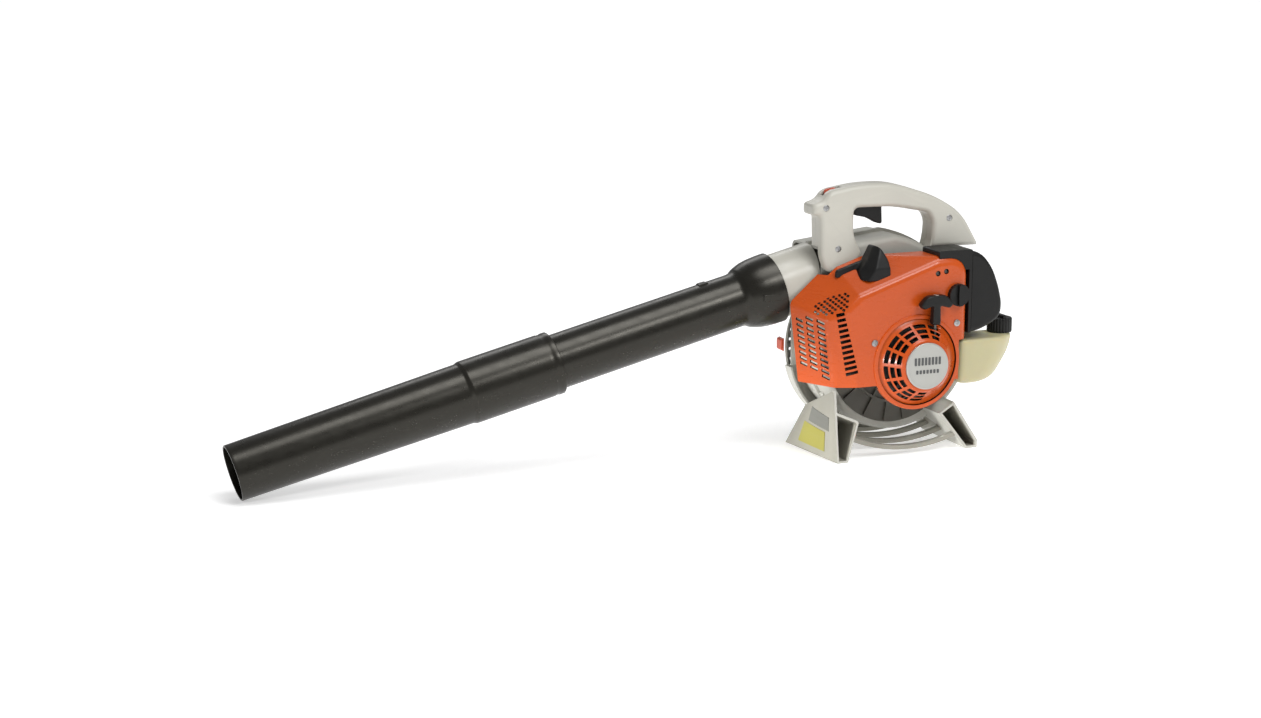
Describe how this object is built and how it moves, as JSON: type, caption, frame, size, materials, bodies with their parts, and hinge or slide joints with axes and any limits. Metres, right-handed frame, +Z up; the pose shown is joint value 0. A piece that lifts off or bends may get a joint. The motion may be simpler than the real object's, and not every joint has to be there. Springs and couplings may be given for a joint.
{
  "type": "handheld leaf blower",
  "caption": "Handheld petrol leaf blower standing on its feet, with a long two-piece blowing tube, top handle and side pull starter.",
  "frame": {"origin": "on the ground under the middle of the whole machine, standing on its feet with the nozzle tip down", "axes": "+X from the nozzle towards the fuel tank, +Y from the starter side towards the fan intake, +Z up"},
  "size_m": [1.0348, 0.203, 0.35],
  "materials": {
    "orange_shell": "glossy moulded plastic",
    "white_shell": "satin moulded plastic",
    "grey_shell": "matte moulded plastic",
    "black_tube": "satin moulded plastic with a long soft highlight",
    "black_plastic": "matte moulded plastic",
    "black_rubber": "matte rubber",
    "cream_tank": "translucent moulded plastic",
    "signal_red": "moulded plastic",
    "cast_alloy": "as cast",
    "machine_steel": "turned",
    "muffler_steel": "heat-stained",
    "badge_plate": "satin plate, plain ring pattern",
    "filter_foam": "open foam",
    "starter_cord": "braided"
  },
  "bodies": {
    "root": {"fan_housing_inner": "grey_shell", "fan_housing_outer": "grey_shell", "screen_hinge_pin": "machine_steel", "crankcase_starter_side": "cast_alloy", "crankcase_fan_side": "cast_alloy", "bearing_starter_side": "machine_steel", "bearing_fan_side": "machine_steel", "cylinder": "cast_alloy", "piston": "cast_alloy", "wrist_pin": "machine_steel", "connecting_rod": "machine_steel", "spark_plug": "machine_steel", "muffler": "muffler_steel", "ignition_module": "black_plastic", "intake_manifold": "black_rubber", "carburettor": "cast_alloy", "engine_shroud": "orange_shell", "shroud_screw_front": "machine_steel", "shroud_screw_rear": "machine_steel", "spark_plug_boot": "black_rubber", "starter_cover": "orange_shell", "badge_disc": "badge_plate", "recoil_spring": "machine_steel", "filter_base": "black_plastic", "filter_element": "filter_foam", "fuel_tank": "cream_tank", "fuel_hose": "black_rubber", "base_stand": "grey_shell", "outlet_spigot": "white_shell", "blower_tube": "black_tube", "handle_near_half": "white_shell", "handle_far_half": "white_shell", "handle_screw_front": "machine_steel", "handle_screw_lower": "machine_steel", "handle_screw_rear": "machine_steel", "throttle_cable": "black_rubber"},
    "crank": {"crankshaft": "machine_steel", "flywheel": "cast_alloy", "fan_wheel": "black_plastic"},
    "trigger": {"throttle_trigger": "black_plastic"},
    "lever": {"setting_lever": "signal_red"},
    "choke": {"choke_knob": "black_plastic"},
    "starter_handle": {"starter_grip": "black_plastic", "starter_rope": "starter_cord"},
    "pulley": {"rope_pulley": "black_plastic"},
    "cap": {"fuel_cap": "black_plastic"},
    "screen": {"intake_screen": "grey_shell"},
    "latch": {"intake_latch": "signal_red"},
    "filter_lid": {"filter_cover": "black_plastic"},
    "nozzle_tube": {"nozzle": "black_tube"}
  },
  "joints": [
    {"name": "crank_spin", "type": "hinge", "parent": "root", "child": "crank", "pos_m": [0.35544, 0.01815, 0.125], "axis": [0, 1, 0], "continuous": true},
    {"name": "throttle_squeeze", "type": "hinge", "parent": "root", "child": "trigger", "pos_m": [0.29844, -0.00185, 0.331], "axis": [0, -1, 0], "range_deg": [0, 14], "stiffness_Nm_per_rad": 0.6},
    {"name": "setting_lever_turn", "type": "hinge", "parent": "root", "child": "lever", "pos_m": [0.26143, -0.00185, 0.336], "axis": [0, 1, 0], "range_deg": [0, 18]},
    {"name": "choke_turn", "type": "hinge", "parent": "root", "child": "choke", "pos_m": [0.41243, -0.07185, 0.209], "axis": [0, 1, 0], "range_deg": [0, 90]},
    {"name": "starter_pull", "type": "slide", "parent": "root", "child": "starter_handle", "axis": [0, 0, 1], "range_m": [0, 0.7], "stiffness_N_per_m": 8, "springref_m": -0.4, "deforming": ["starter_rope"]},
    {"name": "rope_pulley_turn", "type": "hinge", "parent": "root", "child": "pulley", "pos_m": [0.35544, -0.08135, 0.125], "axis": [0, -1, 0], "range_deg": [0, 2010]},
    {"name": "fuel_cap_turn", "type": "hinge", "parent": "root", "child": "cap", "pos_m": [0.50043, -0.02985, 0.147], "axis": [0, 0, 1], "range_deg": [0, 90]},
    {"name": "intake_screen_swing", "type": "hinge", "parent": "root", "child": "screen", "pos_m": [0.47493, 0.08415, 0.125], "axis": [0, 0, -1], "range_deg": [0, 100]},
    {"name": "intake_latch_swing", "type": "hinge", "parent": "root", "child": "latch", "pos_m": [0.23653, 0.07915, 0.137], "axis": [0, 0, 1], "range_deg": [0, 45]},
    {"name": "filter_cover_lift", "type": "hinge", "parent": "root", "child": "filter_lid", "pos_m": [0.43583, -0.04485, 0.264], "axis": [0, -1, 0], "range_deg": [0, 70]},
    {"name": "nozzle_pull", "type": "slide", "parent": "root", "child": "nozzle_tube", "axis": [-0.9694, 0, -0.2453], "range_m": [0, 0.12]}
  ],
  "couplings": [
    {"joint": "rope_pulley_turn", "follows": "starter_pull", "rad_per_m": 50}
  ]
}
